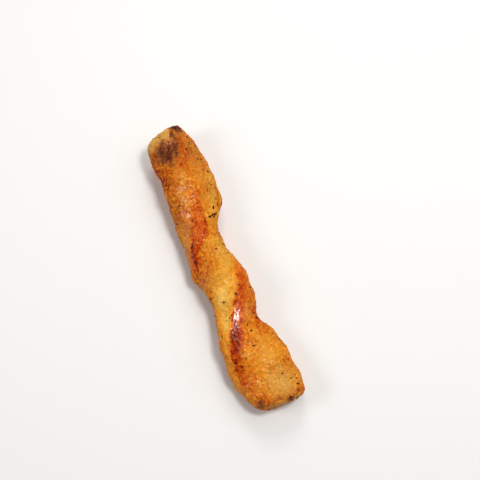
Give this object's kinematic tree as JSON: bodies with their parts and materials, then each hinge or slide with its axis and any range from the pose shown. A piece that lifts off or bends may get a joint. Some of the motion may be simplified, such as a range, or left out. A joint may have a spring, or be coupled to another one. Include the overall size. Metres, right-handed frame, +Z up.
{
  "type": "twisted grissini breadstick",
  "caption": "Thick twisted breadstick: a turned strip of dough with winding ridges, domed ends and a flattened underside, baked golden and red-brown with dried herbs.",
  "frame": {"origin": "on the surface that the stick lies on, under the middle of the stick's bounding box", "axes": "+X along the stick, from the end where the strip stands on edge to the wide end where it lies flat; +Z up"},
  "size_m": [0.1935, 0.0436, 0.0338],
  "materials": {
    "crust": "baked golden crust, slightly oily",
    "dried_herb": "dark dried herb flakes"
  },
  "bodies": {
    "root": {"breadstick": "crust"}
  },
  "joints": []
}
